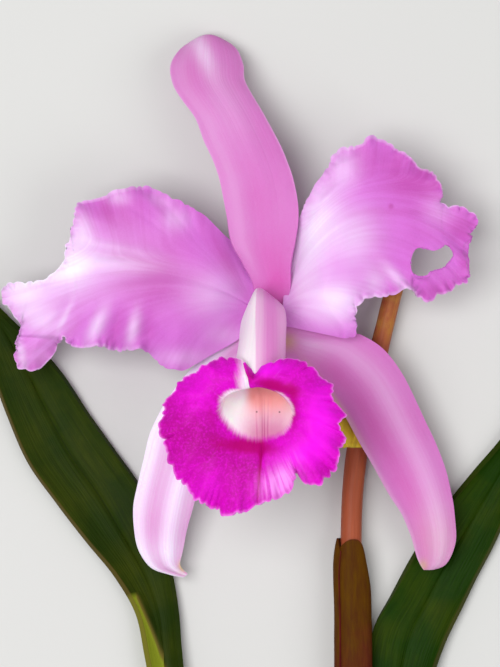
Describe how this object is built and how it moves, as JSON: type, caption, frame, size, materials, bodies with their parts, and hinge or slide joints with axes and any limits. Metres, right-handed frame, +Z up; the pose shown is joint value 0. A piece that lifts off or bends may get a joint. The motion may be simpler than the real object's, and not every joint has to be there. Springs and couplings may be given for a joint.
{
  "type": "cattleya orchid bloom",
  "caption": "Cattleya orchid bloom picked with its stem, sheath, leaves and pseudobulb top, lying on its back: broad ruffled petals, narrow sepals and a frilled trumpet lip.",
  "frame": {"origin": "middle of the whole part's outline seen from above, on the surface that it lies on", "axes": "+Z up, out of the bloom's face; +Y from the pseudobulb to the dorsal sepal's tip; +X to the viewer's right when looking down on the bloom"},
  "size_m": [0.2044, 0.2758, 0.0641],
  "materials": {
    "petal": "thin orchid pink petal tissue with a satin surface",
    "sepal": "firm pale pink sepal tissue with a waxy satin surface",
    "lip": "velvety magenta blade with a pale throat",
    "column": "waxy ivory tinged with pink",
    "stem": "smooth orange brown to olive skin",
    "sheath": "papery olive brown with fine lengthwise veins",
    "leaf": "leathery dark green, semi gloss",
    "pseudobulb": "smooth green skin with faint lengthwise ribs"
  },
  "bodies": {
    "root": {"petal_left": "petal", "petal_right": "petal", "dorsal_sepal": "sepal", "lateral_sepal_left": "sepal", "lateral_sepal_right": "sepal", "lip": "lip", "column": "column", "anther_cap": "column", "ovary": "stem", "peduncle": "stem", "sheath": "sheath", "leaf_left": "leaf", "leaf_right": "leaf", "pseudobulb": "pseudobulb"}
  },
  "joints": []
}
